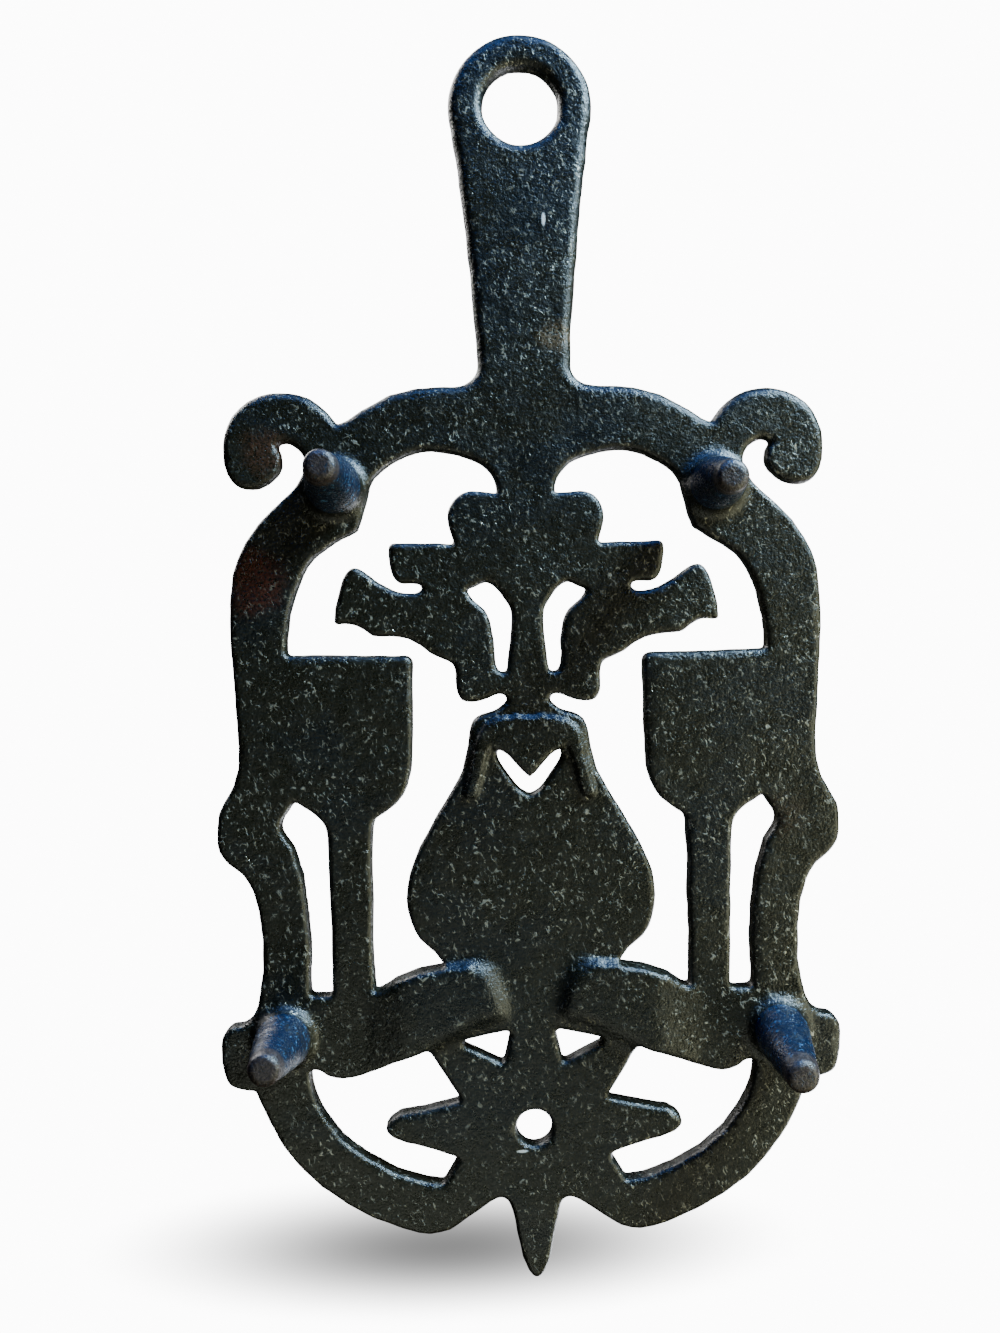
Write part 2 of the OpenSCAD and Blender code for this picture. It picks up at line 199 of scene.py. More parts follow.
# %% Underside heights and the inside
under = np.full(grid_x.shape, np.nan)
upward = Vector((0, 0, 1))
for i, x in enumerate(xs):
    for j, y in enumerate(ys):
        hit = under_tree.ray_cast(Vector((x, y, -5)), upward)[0]
        if hit is not None:
            under[i, j] = hit.z
inside = ~np.isnan(under)
print("metal covers", round(inside.sum() * cell ** 2 / 100, 1), "square cm of the plan")

# %% Distance to the nearest real edge
edge_tree = KDTree(len(outline))
for number, (x, y) in enumerate(outline[:, :2]):
    edge_tree.insert((x, y, 0), number)
edge_tree.balance()
nearest = np.array([edge_tree.find((x, y, 0))[1] for x, y in zip(grid_x.ravel(), grid_y.ravel())])


def distance_to_edges(points, numbers):
    """How far each point (n, 2) is from the outline edge with that number."""
    start, end = outline[numbers, 2:4], outline[numbers, 4:6]
    along = end - start
    share = ((points - start) * along).sum(1) / np.maximum((along ** 2).sum(1), 1e-12)
    return np.linalg.norm(points - start - along * np.clip(share, 0, 1)[:, None], axis=1)


edge = distance_to_edges(np.stack([grid_x.ravel(), grid_y.ravel()], 1), nearest).reshape(grid_x.shape)
edge[inside] *= -1
print("widest half-width", round(-edge.min(), 1), "mm")

# %% [markdown]
# ## What the foundry adds
#
# Sand doesn't hold a square step, so the heights are blurred a little. The blur counts only metal cells,
# or the open air would pull the edges down. The two boots are softer than the rest of the relief, and their
# soles and toes end in a longer slope still, so each has a wider blur of its own. The same blur turns random
# numbers into gentle waves: a pattern rubbed by hand and rammed in sand is nowhere quite straight.

# %% Blur and waves
def blur(field, reach):
    """field smoothed by a bell curve of that reach in millimetres."""
    half = int(np.ceil(3 * reach / cell))
    bell = np.exp(-0.5 * (np.arange(-half, half + 1) * cell / reach) ** 2)
    bell /= bell.sum()
    for axis in (0, 1):
        field = np.apply_along_axis(np.convolve, axis, field, bell, mode="same")
    return field


def blur_metal(field, reach):
    return blur(np.where(inside, field, 0), reach) / np.maximum(blur(inside.astype(float), reach), 1e-6)


def waves(seed, reach):
    """Waves of about that reach, with a mean of 0 and mostly between -2 and 2."""
    field = blur(np.random.default_rng(seed).normal(size=grid_x.shape), reach)
    return field / field.std()


# %% Soft steps
def line_distance(path):
    """How far each cell is from a line through the points of path, on either side of the middle."""
    best = np.full(grid_x.shape, 1e9)
    for (ax, ay), (bx, by) in zip(path[:-1], path[1:]):
        px, py = np.abs(grid_x) - ax, grid_y - ay
        share = np.clip((px * (bx - ax) + py * (by - ay)) / ((bx - ax) ** 2 + (by - ay) ** 2), 0, 1)
        best = np.minimum(best, np.hypot(px - share * (bx - ax), py - share * (by - ay)))
    return best


def fade(value, start, end):
    """0 at start, 1 at end, with a smooth run between them."""
    t = np.clip((value - start) / (end - start), 0, 1)
    return t * t * (3 - 2 * t)


crisp_reach, boot_reach, sole_reach = 0.3, 0.5, 1.1   # mm, the blur of the steps
skin_out = 0.2                                        # mm that the skin stands outside the drawing
skin_down = 0.06                                      # mm that the top face lies below it
under_known = np.where(inside, under, plate_under)
crisp = blur_metal(under_known, crisp_reach)
slope = blur_metal(under_known, sole_reach)
sole = [(5.0, -66.6), (9.5, -67.4), (14.0, -69.6), (19.4, -72.4), (26.0, -75.0)]
toe = [(8.6, -56.8), (7.2, -59.2), (6.0, -63.0), (5.6, -66.0)]
near_sole = 1 - fade(np.minimum(line_distance(sole), line_distance(toe)), 1.4, 3.4)
near_boot = fade(grid_y, -80, -77) * (1 - fade(grid_y, -53, -50))
soft = crisp + (blur_metal(under_known, boot_reach) - crisp) * near_boot
soft += (slope - soft) * near_sole
soft += 0.035 * waves(3, 2.6) + 0.022 * waves(4, 0.8)
side = edge - skin_out + 0.045 * waves(5, 1.1) + 0.03 * waves(6, 3.0)
top = plate_top - skin_down + 0.02 * np.clip(waves(7, 2.4), -2, 2)
print("underside from", round(soft[inside].min(), 2), "to", round(soft[inside].max(), 2), "mm")

# %% [markdown]
# ## One solid field
#
# A signed field says how far any point is from the surface, negative in the metal. Its great merit here is
# that rounding is arithmetic: where two faces meet, their distances are joined with a quarter circle of
# any radius. That rounds every arris, however the outline runs, with no bevel to fail in a narrow tip.

# %% Rounded meetings
def round_edge(a, b, r):
    """What lies in both a and b, with the outer edge between them rounded to radius r."""
    return np.minimum(-r, np.maximum(a, b)) + np.hypot(np.maximum(r + a, 0), np.maximum(r + b, 0))


def round_root(a, b, r):
    """a and b joined, with a fillet of radius r in the inner corner."""
    return np.maximum(r, np.minimum(a, b)) - np.hypot(np.maximum(r - a, 0), np.maximum(r - b, 0))


under_round = 1.0 + 0.9 * fade(grid_y, 34, 50)   # mm, larger along the handle
top_round = 0.45
draft = tan(radians(2))                          # the slope that lets a pattern leave the sand
draft_share = 0.6                                # how much of it is left after fettling
reach_down = 3.4                                 # mm below the plate that its field is worked out
band = 3 * cell                                  # mm, where the field stops counting

# %% The plate in the field
field = np.full(tuple(count), band, np.float32)
first = int((plate_under - reach_down - origin[2]) / cell)
for k in range(first, count[2]):
    z = zs[k]
    wall = side + draft * max(plate_top - top_round - z, 0) * draft_share
    body = round_edge(wall, soft - z, under_round)
    field[:, :, k] = round_edge(body, z - top, top_round)
print("field of", field.size // 1000, "thousand cells")

# %% [markdown]
# The feet are cones with a blunt, worn end. They were stuck on the pattern by eye, so each leans a little
# its own way: the ends stand up to 2 mm from where the drawing has them. Each foot is worked out only in
# the small block of cells around it, and joined to the plate with a fillet, as the sand leaves one.

# %% The feet in the field
askew_feet = {
    "right_upper_foot": (-0.1, 1.7), "left_upper_foot": (0.5, -0.8),
    "right_lower_foot": (0.1, 1.4), "left_lower_foot": (0.4, -2.0),
}
tip_share = 0.48                   # the worn end's radius, as a share of the root's
tip_round, root_round = 0.7, 2.1   # mm, the rounding of the end and the fillet at the root
sunk = 2.4                         # mm that a foot runs on into the plate
block = 11                         # mm on each side of a foot that its cells reach
foot_at = {}
for number, name in enumerate(feet):
    lowest, highest = (np.array(corner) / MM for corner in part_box(name))
    axis = (lowest + highest)[:2] / 2
    root_radius = (highest - lowest)[0] / 2
    tip_radius = root_radius * tip_share
    askew = np.array(askew_feet[name])
    foot_at[name] = (*axis, root_radius)
    span = [slice(*np.searchsorted(line, (mid - block, mid + block))) for line, mid in zip((xs, ys), axis)]
    bx, by = grid_x[tuple(span)], grid_y[tuple(span)]
    lean = (root_radius - tip_radius) / plate_under
    for k, z in enumerate(zs):
        if z > plate_under + sunk + 0.1:
            break
        wobble = 1 + 0.018 * sin(z * 0.9 + number) + 0.012 * sin(z * 2.3 + 2 * number)
        radius = (tip_radius + lean * max(z, 0)) * wobble
        middle = axis + askew * (1 - max(z, 0) / plate_under)
        cone = (np.hypot(bx - middle[0], by - middle[1]) - radius) * cos(lean)
        foot = round_edge(cone, np.full(bx.shape, -z), tip_round)
        foot = np.maximum(foot, z - plate_under - sunk)
        field[(*span, k)] = round_root(field[(*span, k)], foot, root_round)
field = np.clip(field, -band, band)
print("feet at", {name: [round(float(v), 1) for v in at[:2]] for name, at in foot_at.items()})

# %% [markdown]
# ## The skin
#
# OpenVDB walks the field and lays polygons where it crosses zero. On flat stretches it merges them, so the
# polygons go where the form is. The direction in which the field grows fastest is the true surface normal,
# better than one averaged from the faces, so each corner keeps it.

# %% Polygons from the field
voxels = openvdb.FloatGrid(band)
voxels.copyFromArray(field, tolerance=0.0)
voxels.transform = openvdb.createLinearTransform(cell)
points, triangles, quads = voxels.convertToPolygons(isovalue=0.0, adaptivity=0.03)
points = points.astype(float) + origin
faces = np.concatenate([triangles, quads[:, [0, 1, 2]], quads[:, [0, 2, 3]]]).astype(int)
volume = (np.cross(points[faces[:, 0]], points[faces[:, 1]]) * points[faces[:, 2]]).sum() / 6
if volume < 0:
    faces = faces[:, ::-1]
print(len(points), "points,", len(faces), "triangles,", round(abs(volume) / 1000, 1), "cubic cm of iron")


# %% Reading the field between its cells
def field_at(where):
    """The field at points (n, 3), weighed between the eight cells around each."""
    place = np.clip((where - origin) / cell, 0, np.array(field.shape) - 1.001)
    base = place.astype(int)
    part = place - base
    value = np.zeros(len(where))
    for corner in np.ndindex(2, 2, 2):
        weight = np.prod(np.where(corner, part, 1 - part), axis=1)
        value += weight * field[tuple((base + corner).T)]
    return value


def normals_at(where):
    grow = np.stack([field_at(where + d) - field_at(where - d) for d in np.eye(3) * cell * 0.7], 1)
    return grow / np.maximum(np.linalg.norm(grow, axis=1), 1e-9)[:, None]


# %% [markdown]
# ## Sharing the skin out
#
# The casting is one lump, but the part is easier to use when each named region is a piece of its own. The
# skin is slit along each hand-over line, so that every triangle belongs to one region. Cut edges are shared
# by both neighbours, with the same normals, so no line shows.

# %% Slitting along a plane
def slit(points, faces, where, facing, within):
    """Splits the triangles that a plane cuts, wherever the crossing satisfies within."""
    height = (points - where) @ facing
    height[np.abs(height) < 1e-4] = 0
    cut = np.flatnonzero((height[faces].min(1) < 0) & (height[faces].max(1) > 0))
    if not len(cut):
        return points, faces
    sides = np.sort(faces[cut][:, [[0, 1], [1, 2], [2, 0]]].reshape(-1, 2), axis=1)
    crossed = height[sides[:, 0]] * height[sides[:, 1]] < 0
    pairs, back = np.unique(sides[crossed], axis=0, return_inverse=True)
    share = (height[pairs[:, 0]] / (height[pairs[:, 0]] - height[pairs[:, 1]]))[:, None]
    spots = points[pairs[:, 0]] * (1 - share) + points[pairs[:, 1]] * share
    kept = within(spots)
    numbers = np.full(len(pairs), -1)
    numbers[kept] = len(points) + np.arange(kept.sum())
    middle = np.full(len(sides), -1)
    middle[crossed] = numbers[back.ravel()]
    new = []
    for (a, b, c), (ab, bc, ca) in zip(faces[cut].tolist(), middle.reshape(-1, 3).tolist()):
        ring = [p for p in (a, ab, b, bc, c, ca) if p >= 0]
        if len(ring) == 5:
            lone = next(k for k in (0, 1, 2) if (ab, bc, ca)[k] < 0)
            tip = (c, a, b)[lone]
            turn = ring.index(tip)
            ring = ring[turn:] + ring[:turn]
            new.append((ring[0], ring[1], ring[4]))
            new.extend([(ring[1], ring[2], ring[3]), (ring[1], ring[3], ring[4])])
        elif len(ring) == 4:
            turn = next(k for k in range(4) if ring[k] not in (a, b, c))
            ring = ring[turn:] + ring[:turn]
            new.extend([(ring[0], ring[1], ring[2]), (ring[0], ring[2], ring[3])])
        else:
            new.append((a, b, c))
    rest = np.delete(faces, cut, axis=0)
    return np.concatenate([points, spots[kept]]), np.concatenate([rest, np.array(new)])


# %% Slit at every hand-over
past_end = 0.4       # mm that a slit runs on past the ends of its line
below_plate = 2.5    # mm that it reaches below the underside
for x0, y0, x1, y1 in seams:
    start, end = np.array([x0, y0, 0]), np.array([x1, y1, 0])
    length = np.linalg.norm(end - start)
    along = (end - start) / length
    points, faces = slit(
        points, faces, start, np.array([along[1], -along[0], 0]),
        lambda spots: ((spots - start) @ along > -past_end) & ((spots - start) @ along < length + past_end)
        & (spots[:, 2] > plate_under - below_plate),
    )
foot_cut = plate_under - 1.9   # each foot begins here, near the end of its fillet
foot_room = 3                  # mm around its root that count as the foot
for x, y, radius in foot_at.values():
    points, faces = slit(
        points, faces, np.array([0, 0, foot_cut]), np.array([0, 0, 1.0]),
        lambda spots: np.hypot(spots[:, 0] - x, spots[:, 1] - y) < radius + foot_room,
    )
print(len(faces), "triangles after slitting")

# %% Who owns each triangle
middles = points[faces].mean(1)
owner = np.array([region_of[region_tree.find_nearest(Vector((x, y, 0)))[2]] for x, y in middles[:, :2]])
for number, (x, y, radius) in enumerate(foot_at.values()):
    close = np.hypot(middles[:, 0] - x, middles[:, 1] - y) < radius + foot_room
    below = (middles[:, 2] < foot_cut) & close
    owner[below] = len(plate) + number
names = plate + feet
points = np.clip(points, low, high)
skin_normals = normals_at(points)
print({names[k]: int((owner == k).sum()) for k in range(len(names))})


# %% [markdown]
# ## Closing the pieces
#
# Where a region was slit from its neighbour its mesh is open. A fan from the middle would close the hole,
# but along a bent hand-over it would cut through the air. So the cap is an upright sheet between the slit's
# lower and upper run. Caps lie inside the iron and never show, but a closed piece can be used by itself.

# %% Rims left open
def open_rims(each):
    """The open rims of some triangles, each as corner numbers in order."""
    sides = np.concatenate([each[:, [0, 1]], each[:, [1, 2]], each[:, [2, 0]]]).tolist()
    known = {tuple(side) for side in sides}
    following = {a: b for a, b in sides if (b, a) not in known}
    while following:
        ring = [next(iter(following))]
        while (corner := following.pop(ring[-1])) != ring[0]:
            ring.append(corner)
        yield ring


# %% An upright cap
def cap(corners, ring):
    """Triangles that close a ring, and any new corner they need. An upright ring gets a sheet between its
    lower and its upper run, and a flat one gets a fan from its middle."""
    low_run = corners[ring, 2] < (plate_under + plate_top) / 2
    turns = [k for k in range(len(ring)) if low_run[k] and not low_run[k - 1]]
    if len(turns) != 1:
        return [(b, a, len(corners)) for a, b in zip(ring, ring[1:] + ring[:1])], [corners[ring].mean(0)]
    ring = ring[turns[0]:] + ring[:turns[0]]
    lower, upper = ring[:low_run.sum()], ring[low_run.sum():][::-1]
    made, i, j = [], 0, 0
    while i < len(lower) - 1 or j < len(upper) - 1:
        gaps = [
            np.linalg.norm(corners[lower[i + 1]] - corners[upper[j]]) if i < len(lower) - 1 else 1e9,
            np.linalg.norm(corners[upper[j + 1]] - corners[lower[i]]) if j < len(upper) - 1 else 1e9,
        ]
        if gaps[0] <= gaps[1]:
            made.append((lower[i + 1], lower[i], upper[j]))
            i += 1
        else:
            made.append((upper[j], upper[j + 1], lower[i]))
            j += 1
    return made, []


# %% One closed piece per region
def piece(name, mine):
    """Makes the Blender object for one region from the triangles that it owns."""
    used, local = np.unique(faces[mine], return_inverse=True)
    each, corners = local.reshape(-1, 3), points[used]
    rings = list(open_rims(each))
    for ring in rings:
        made, centre = cap(corners, ring)
        each = np.vstack([each, made])
        corners = np.vstack([corners, *centre])
    mesh = bpy.data.meshes.new(name)
    mesh.from_pydata((corners * MM).tolist(), [], each.tolist())
    leans = np.vstack([skin_normals[used], np.tile((0, 0, 1), (len(corners) - len(used), 1))])
    mesh.polygons.foreach_set("use_smooth", np.ones(len(mesh.polygons), bool))
    mesh.normals_split_custom_set_from_vertices(leans.tolist())
    thing = bpy.data.objects.new(name + "_iron", mesh)
    bpy.context.scene.collection.objects.link(thing)
    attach(thing, "root")
    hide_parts(name)
    return thing, len(rings)


casting, capped = {}, {}
for number, name in enumerate(names):
    casting[name], capped[name] = piece(name, np.flatnonzero(owner == number))
print("caps:", capped)

# %% [markdown]
# ## Shader maths
#
# Node trees are easier to read as sums than as wires. This class wraps a socket, so that masks and heights
# can be added, scaled and compared in Python, and each operator lays the node that it stands for.

# %% A socket with operators
class Wire:
    """One output socket of a node tree."""

    def __init__(self, shop, socket):
        self.shop, self.socket = shop, socket

    def _meet(self, operation, first, second):
        wide = any(isinstance(v, Wire) and v.socket.type == "VECTOR" for v in (first, second))
        kind = "ShaderNodeVectorMath" if wide else "ShaderNodeMath"
        return self.shop.node(kind, {"operation": operation}, {0: first, 1: second})

    def __add__(self, other): return self._meet("ADD", self, other)
    def __radd__(self, other): return self._meet("ADD", other, self)
    def __sub__(self, other): return self._meet("SUBTRACT", self, other)
    def __mul__(self, other): return self._meet("MULTIPLY", self, other)
    def __rmul__(self, other): return self._meet("MULTIPLY", other, self)


# %% A workshop for one node tree
class Shop:
    """Makes the nodes of one material, or of the world."""

    def __init__(self, holder):
        holder.use_nodes = True
        self.holder, self.tree = holder, holder.node_tree
        self.tree.nodes.clear()

    def node(self, kind, settings=None, inputs=None, out=0):
        """One node: its settings first, then the value or wire of each input. Gives its output as a Wire."""
        made = self.tree.nodes.new(kind)
        for key, value in (settings or {}).items():
            setattr(made, key, value)
        for key, value in (inputs or {}).items():
            if isinstance(value, Wire):
                self.tree.links.new(value.socket, made.inputs[key])
            else:
                socket = made.inputs[key]
                wide = socket.type in ("VECTOR", "RGBA")
                socket.default_value = [value] * 3 if wide and not hasattr(value, "__len__") else value
        self.last = made
        return Wire(self, made.outputs[out]) if made.outputs else None

    def band(self, value, start, end):
        """0 where value is at start, 1 at end, and smooth between."""
        return self.node("ShaderNodeMapRange", {"interpolation_type": "SMOOTHSTEP"}, {
            "Value": value, "From Min": start, "From Max": end, "To Min": 0.0, "To Max": 1.0})

    def noise(self, at, scale, detail=2.0, rough=0.5, distortion=0.0):
        return self.node("ShaderNodeTexNoise", {}, {
            "Vector": at, "Scale": scale, "Detail": detail, "Roughness": rough, "Distortion": distortion})

    def from_point(self, at, point):
        """How far at is from a point."""
        return self.node("ShaderNodeVectorMath", {"operation": "DISTANCE"}, {0: at, 1: point}, "Value")

    def blend(self, factor, first, second):
        """A colour between first and second."""
        return self.node("ShaderNodeMix", {"data_type": "RGBA"}, {0: factor, 6: first, 7: second}, 2)


print("shader tools ready")

# %% [markdown]
# ## The iron
#
# Old cast iron is black oxide over a sandy skin. From a hand's breadth it is not one colour: it drifts
# between olive and blue-black, fine grains catch the light one by one, and the high grains are rubbed to
# bare metal. The pale grains and scratches in the colour are exposed metal and painted glints in one, and a
# few slots and patches are made bluer as a painted cast of the blue window light and sky. One recipe makes
# all of it, and each material slot asks for its own share of wear. All lengths in the recipe are millimetres
# on the object, so the grain keeps its size on every piece.

# %% Pale grains and hairline scratches: exposed metal and painted glints
def grains(shop, place, size, share, seed):
    """Small ragged spots of about that size. share sets how much of the surface they take."""
    level = shop.noise(place + 7.3 * seed, 1 / size, 2.0, 0.65)
    return shop.band(level, 0.74 - 0.16 * share, 0.80 - 0.12 * share)


def scratches(shop, place, size, share, seed):
    """Short curved hairlines: pieces of the level lines of a noise, kept only here and there."""
    level = shop.noise(place + 5.1 * seed, 1 / size, 1.0, 0.5, 0.6)
    near = shop.node("ShaderNodeMath", {"operation": "ABSOLUTE"}, {0: level - 0.5})
    return shop.band(near, 0.035, 0.012) * shop.band(
        shop.noise(place + 9.7 * seed, 1.1 / size, 1.0), 0.70 - 0.2 * share, 0.78 - 0.2 * share)


# %% The recipe
def cast_iron(
    name, blue=0.4, gloss=0.30, bare_and_glint_share=1.0, deep=(0.0030, 0.0044, 0.0048), glint=(0.46, 0.44, 0.36), worn=None,
    stains_and_casts=(), nicks=(),
):
    """Black cast iron. blue is the share of the bluish tone deep: oxide, and on some slots more of it as a
    painted blue cast of the light. bare_and_glint_share is the share of the pale grains glint: exposed metal
    and painted glints in one. worn is the heights between which the wear of an end fades out.
    stains_and_casts are (x, y, reach, colour, strength): stains, and painted casts of light. nicks are
    (x, y, half_x, half_y). Lengths are in mm."""
    oxide, dust, scar = (0.0056, 0.0055, 0.0026, 1), (0.0120, 0.0116, 0.0070, 1), (0.62, 0.64, 0.64, 1)
    rubbed_dark, rubbed_bright = (0.018, 0.012, 0.010, 1), (0.070, 0.050, 0.044, 1)
    shop = Shop(bpy.data.materials.new(name))
    shop.node("ShaderNodeTexCoord")
    place = Wire(shop, shop.last.outputs["Object"]) * 1000
    drift = shop.noise(place, 0.045, 3.0)
    cloud = shop.noise(place + 40, 0.35, 3.0, 0.6)
    fine = shop.noise(place, 2.1, 3.0, 0.6)
    rough_grain = shop.noise(place + 11, 0.85, 2.0)
    sand = shop.noise(place + 23, 4.6, 2.0, 0.6)
    slant = shop.node("ShaderNodeVectorRotate", {"rotation_type": "Z_AXIS"}, {
        "Vector": place, "Angle": radians(20)}) * (1, 0.45, 1)

    bluish = shop.band(drift + 0.35 * cloud, 0.75 - 0.3 * blue, 0.95 - 0.3 * blue)
    colour = shop.blend(bluish, oxide, (*deep, 1))
    colour = shop.blend(shop.band(fine + 0.5 * cloud, 0.72, 1.05), colour, dust)
    spots = grains(shop, slant, 0.36, 0.34 * bare_and_glint_share, 1) + grains(shop, place, 0.7, 0.14 * bare_and_glint_share, 2)
    lines = scratches(shop, slant, 0.85, 0.6 * bare_and_glint_share, 3) + scratches(shop, place, 1.6, 0.5 * bare_and_glint_share, 4)
    patch = shop.band(shop.noise(place + 70, 0.09, 2.0), 0.38, 0.62)
    # Grains and scratches make the colour pale and partly metallic: exposed metal, and painted glints where
    # the grain would sparkle.
    bare_and_glint = shop.node("ShaderNodeClamp", {}, {0: (spots + 0.9 * lines) * (0.45 + 0.75 * patch)})
    colour = shop.blend(0.72 * bare_and_glint, colour, (*glint, 1))
    # Each entry tints a round patch. Most are stains; the blue patch around the star and boots is a painted
    # cast of the window light.
    for x, y, reach, tint, strength in stains_and_casts:
        gone = shop.from_point(place * (1, 1, 0), (x, y, 0))
        stain_and_cast = shop.band(gone + 5 * (cloud - 0.5), reach, 0.25 * reach) * shop.band(fine, 0.35, 0.6)
        colour = shop.blend(strength * stain_and_cast, colour, (*tint, 1))
    for x, y, half_x, half_y in nicks:
        gone = shop.from_point(place * (1 / half_x, 1 / half_y, 0), (x / half_x, y / half_y, 0))
        colour = shop.blend(shop.band(gone + 0.5 * (fine - 0.5), 1.0, 0.5), colour, scar)
    roughness = gloss + 0.22 * (cloud - 0.5) + 0.2 * (fine - 0.5) - 0.08 * bare_and_glint
    height = 0.17 * fine + 0.14 * rough_grain + 0.05 * sand + 0.015 * bare_and_glint
    if worn:
        start, end = worn
        up = shop.node("ShaderNodeSeparateXYZ", {}, {0: place}, "Z")
        rub = shop.band(up + 0.8 * (cloud - 0.5), start, end)
        speck = shop.band(fine + 0.4 * sand, 0.55, 0.95)
        colour = shop.blend(0.85 * rub, colour, shop.blend(speck, rubbed_dark, rubbed_bright))
        roughness = roughness + 0.08 * rub
    bump = shop.node("ShaderNodeBump", {}, {"Strength": 1.0, "Distance": MM, "Height": height})
    skin = shop.node("ShaderNodeBsdfPrincipled", {}, {
        "Base Color": colour, "Roughness": roughness, "Metallic": 0.55 * bare_and_glint, "Normal": bump,
        "IOR": 1.5})
    shop.node("ShaderNodeOutputMaterial", {}, {"Surface": skin})
    return shop.holder


# %% One material per slot
rust, brown, sandy = (0.10, 0.022, 0.010), (0.06, 0.026, 0.012), (0.11, 0.075, 0.04)
olive, blue_black = (0.013, 0.011, 0.0045), (0.0022, 0.0046, 0.0054)
# A painted blue cast of the window light: the iron around the star and boots is made darker and bluer.
blue_light_cast = (0, -76, 36, blue_black, 0.62)
plate_stains_and_casts = [
    blue_light_cast, (50, 33, 15, olive, 0.6), (50, 14, 8, rust, 0.55), (47.5, 38, 6, brown, 0.8),
    (-47, -30, 6, brown, 0.2),
]
iron = {
    "plate_iron": cast_iron(
        "plate_iron", blue=0.35, stains_and_casts=plate_stains_and_casts,
        nicks=[(2.3, -91.0, 1.3, 0.35), (-4.9, -14.8, 0.4, 0.9)]),
    # The handle's larger blue share is a painted blue cast of the window light, laid over the random oxide
    # drift.
    "handle_iron": cast_iron(
        "handle_iron", blue=0.55, bare_and_glint_share=1.15, stains_and_casts=[(-6, 58.5, 4, sandy, 0.8)],
        nicks=[(-4.0, 80.0, 0.45, 1.5)]),
    "raised_iron": cast_iron("raised_iron", blue=0.45, gloss=0.28, stains_and_casts=[blue_light_cast]),
    # The feet's deep blue base and blue grains are a painted reflection of the blue sky on their flanks; the
    # worn ends are real wear.
    "foot_iron": cast_iron(
        "foot_iron", blue=1.2, gloss=0.28, bare_and_glint_share=1.0, deep=(0.002, 0.008, 0.024), glint=(0.12, 0.30, 0.55),
        worn=(3.6, 2.2)),
}
slot_of = {name: "plate_iron" for name in plate} | {name: "foot_iron" for name in feet}
slot_of |= {"handle": "handle_iron", "hanging_eye": "handle_iron"}
slot_of |= {"right_boot": "raised_iron", "left_boot": "raised_iron", "collar": "raised_iron"}
print({slot: sum(s == slot for s in slot_of.values()) for slot in iron})

for name, thing in casting.items():
    thing.data.materials.append(iron[slot_of[name]])

# %% [markdown]
# ## Floor, light and camera
#
# The trivet stands on a pale floor, and it is looked at from underneath. So the floor shows only to an eye
# above it: its material is clear from behind, and it neither shades nor lights the iron. Far out it turns
# into the white of the room, so no horizon shows.

# %% Floor
white_glow = 12.0         # the strength of the room's white
floor_half = 2            # metres
floor_fade = 0.25, 1.3    # metres from the middle, where it turns white
floor_mesh = bpy.data.meshes.new("floor")
floor_corners = [(x * floor_half, y * floor_half, 0) for x, y in ((-1, -1), (1, -1), (1, 1), (-1, 1))]
floor_mesh.from_pydata(floor_corners, [], [(0, 1, 2, 3)])
floor = bpy.data.objects.new("floor", floor_mesh)
bpy.context.scene.collection.objects.link(floor)
shop = Shop(bpy.data.materials.new("pale_floor"))
shop.node("ShaderNodeNewGeometry")
behind = Wire(shop, shop.last.outputs["Backfacing"])
shop.node("ShaderNodeTexCoord")
place = Wire(shop, shop.last.outputs["Object"])
gone = shop.node("ShaderNodeVectorMath", {"operation": "LENGTH"}, {0: place}, "Value")
near = shop.node("ShaderNodeBsdfDiffuse", {}, {"Color": (0.8, 0.8, 0.8, 1)})
far = shop.node("ShaderNodeEmission", {}, {"Color": (1, 1, 1, 1), "Strength": white_glow})
pale = shop.node("ShaderNodeMixShader", {}, {0: shop.band(gone, *floor_fade), 1: near, 2: far})
clear = shop.node("ShaderNodeBsdfTransparent")
shop.node("ShaderNodeOutputMaterial", {}, {
    "Surface": shop.node("ShaderNodeMixShader", {}, {0: behind, 1: pale, 2: clear})})
floor_mesh.materials.append(shop.holder)
for ray in ("diffuse", "glossy", "transmission", "shadow", "volume_scatter"):
    setattr(floor, "visible_" + ray, False)
print("floor at", floor.location.z)

# %% [markdown]
# Black iron is drawn by what it mirrors. The room is kept dim. A blue window and a strip of blue sky stand
# beyond the handle, upright and wholly below the floor. The flat undersides look straight down and mirror
# little of them, so they stay dark, while a bright line runs along every arris that faces them. From below
# the floor they can't glare in the top face. Two weak warm lights let the flats read as olive, and two soft
# lamps above serve anyone who looks from there. The eye sees the room itself as white, with one long soft
# shadow far below the star.

# %% Lamps
def lamp(name, at, towards, size, watts, colour):
    light = bpy.data.lights.new(name, "AREA")
    light.shape, light.size, light.size_y = "RECTANGLE", *size
    light.energy, light.color = watts, colour
    thing = bpy.data.objects.new(name, light)
    thing.location = at
    thing.rotation_euler = (Vector(towards) - Vector(at)).to_track_quat("-Z", "Y").to_euler()
    bpy.context.scene.collection.objects.link(thing)
    return thing


lamp("window", (-0.36, 0.42, -0.12), (0, 0, -0.10), (0.14, 0.20), 15, (0.54, 0.80, 1.0))
lamp("sky", (-0.05, 0.62, -0.12), (0, 0, -0.10), (0.7, 0.2), 4.0, (0.05, 0.26, 1.0))
lamp("side", (-0.27, -0.09, -0.12), (-0.03, -0.05, 0.02), (0.45, 0.15), 1.15, (1.0, 1.0, 0.66))
lamp("warm_fill", (0.10, -0.45, -0.38), (0, -0.02, 0.02), (0.3, 0.3), 0.65, (0.93, 1.0, 0.84))
lamp("high_right", (0.55, 0.55, 0.52), (0, 0, 0.02), (0.5, 0.5), 9, (1.0, 0.99, 0.97))
lamp("high_left", (-0.55, -0.55, 0.52), (0, 0, 0.02), (0.5, 0.5), 7, (0.92, 0.96, 1.0))

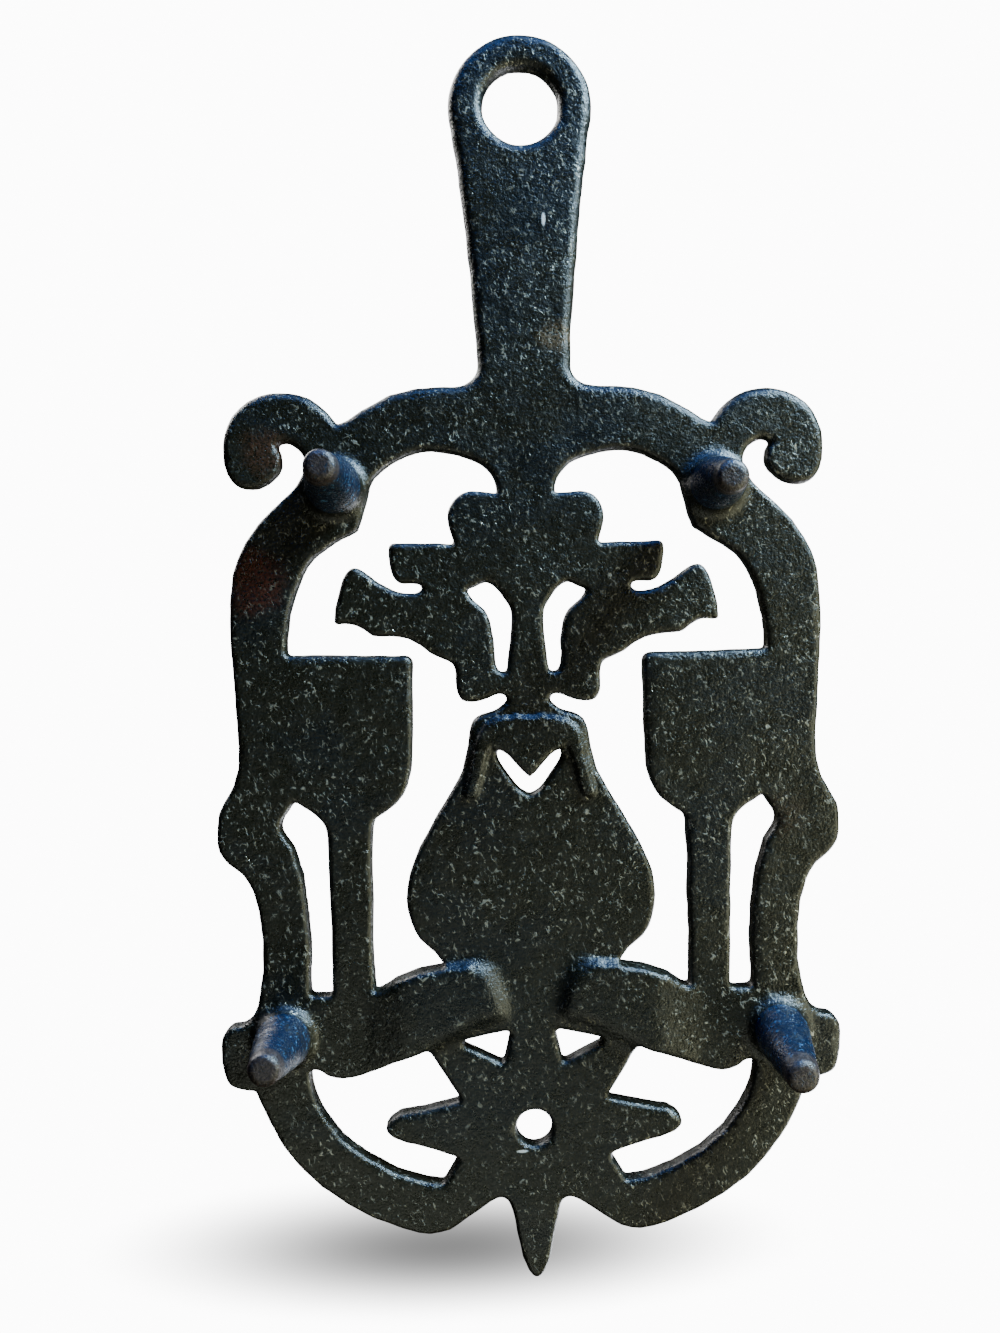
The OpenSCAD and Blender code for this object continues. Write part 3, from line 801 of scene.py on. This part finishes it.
# %% The room
shade_middle = (0.044, -0.466, 1)    # where the shadow lies, as a slope from straight up
shade_half = 0.28, 0.061             # its half width and half height, as slopes
shade_left = 0.025                   # the share of white left in its middle
room = Shop(bpy.data.worlds.new("room"))
bpy.context.scene.world = room.holder
room.node("ShaderNodeTexCoord")
ray = Wire(room, room.last.outputs["Generated"])
up = room.node("ShaderNodeSeparateXYZ", {}, {0: ray}, "Z")
spot = room.node("ShaderNodeVectorMath", {"operation": "DIVIDE"}, {0: ray, 1: up}) - shade_middle
spot = spot * (1 / shade_half[0], 1 / shade_half[1], 0)
gone = room.node("ShaderNodeVectorMath", {"operation": "LENGTH"}, {0: spot}, "Value")
depth = room.band(gone, 1.0, 0.0) * room.band(up, 0.0, 0.1)
kept = room.node("ShaderNodeMath", {"operation": "POWER"}, {0: shade_left, 1: depth})
white = room.node("ShaderNodeBackground", {}, {"Color": (1, 1, 1, 1), "Strength": white_glow})
black = room.node("ShaderNodeBackground", {}, {"Color": (0, 0, 0, 1), "Strength": 1.0})
dim = room.node("ShaderNodeBackground", {}, {"Color": (0.65, 0.68, 0.5, 1), "Strength": 0.02})
seen = room.node("ShaderNodeMixShader", {}, {0: kept, 1: black, 2: white})
camera_ray = room.node("ShaderNodeLightPath", out="Is Camera Ray")
room.node("ShaderNodeOutputWorld", {}, {
    "Surface": room.node("ShaderNodeMixShader", {}, {0: camera_ray, 1: dim, 2: seen})})
print(len(bpy.data.lights), "lamps")

# %% [markdown]
# The camera lies under the trivet and looks straight up at it, with the handle at the top of the picture.
# It is close, about a span away, which is why the feet splay outward.

# %% Camera
away = 248                           # mm from the level that fills the picture
level = plate_under + 2.8            # mm, that level
rows, row_height = 1333, 0.1855      # the picture's height, and the mm at that level in each row
film = 36                            # mm, its longer side
roll, yaw = radians(0.82), radians(1.8)
eye = Vector((5.5, 6.2, level - away)) * MM
lens = bpy.data.cameras.new("camera")
lens.lens = film * away / (row_height * rows)
lens.shift_x, lens.shift_y = 2.5 / rows - lens.lens / film * tan(yaw), -44.7 / rows
lens.clip_start = 0.01
camera = bpy.data.objects.new("camera", lens)
right, upright = Vector((-cos(roll), -sin(roll), 0)), Vector((-sin(roll), cos(roll), 0))
ahead = Vector((0, 0, 1))
axes = right * cos(yaw) - ahead * sin(yaw), upright, -right * sin(yaw) - ahead * cos(yaw)
camera.matrix_world = Matrix.Translation(eye) @ Matrix(axes).transposed().to_4x4()
bpy.context.scene.collection.objects.link(camera)
bpy.context.scene.camera = camera
print("camera at", [round(v * 1000, 1) for v in eye], "mm")
